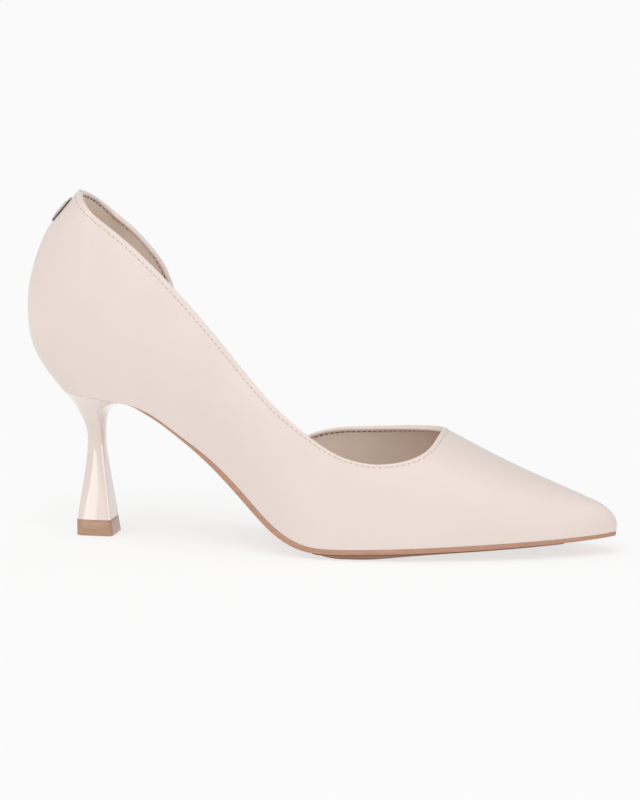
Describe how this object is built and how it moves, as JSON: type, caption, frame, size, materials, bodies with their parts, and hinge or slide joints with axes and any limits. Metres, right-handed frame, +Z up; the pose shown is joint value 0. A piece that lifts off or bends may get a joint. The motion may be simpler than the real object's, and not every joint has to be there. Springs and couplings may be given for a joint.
{
  "type": "high heel pump",
  "caption": "Pointed pump for the right foot, cut open at the inner arch, on a slim flared square heel with a stitched topline and a small trim bar at the back.",
  "frame": {"origin": "middle of the ground under the bounding box: the shoe stands on its heel tip and its forepart tread", "axes": "+X to the toe, +Y to the inner (medial) side of the foot, +Z up"},
  "size_m": [0.2408, 0.0732, 0.1412],
  "materials": {
    "upper_leather": "smooth satin leather, pale nude",
    "lining_leather": "soft matte lining leather, greige",
    "stiffener": "impregnated stiffener sheet",
    "insole_board": "pressed cellulose board",
    "steel": "plain steel",
    "foam": "latex foam",
    "sock_leather": "soft matte sock leather",
    "filler": "felt and cork filler",
    "sole": "tan finished sole edge",
    "tread": "tan moulded forepart",
    "heel_lacquer": "high gloss nude lacquer on moulded plastic",
    "heel_tip": "tan hard rubber",
    "trim_metal": "polished pale metal",
    "thread": "twisted polyester thread"
  },
  "bodies": {
    "root": {"upper_outer": "upper_leather", "medial_quarter": "upper_leather", "vamp_lining": "lining_leather", "quarter_lining": "lining_leather", "heel_counter": "stiffener", "toe_puff": "stiffener", "forepart_insole": "insole_board", "shank_board": "insole_board", "steel_shank": "steel", "shank_rivet_1": "steel", "shank_rivet_2": "steel", "insole_foam": "foam", "sock_lining": "sock_leather", "bottom_filler": "filler", "outsole": "sole", "forepart_tread": "tread", "heel_body": "heel_lacquer", "heel_tube": "steel", "top_lift": "heel_tip", "top_lift_pin": "steel", "heel_screw": "steel", "heel_nail_1": "steel", "heel_nail_2": "steel", "heel_nail_3": "steel", "heel_nail_4": "steel", "back_trim": "trim_metal", "topline_thread": "thread", "quarter_thread": "thread"}
  },
  "joints": []
}
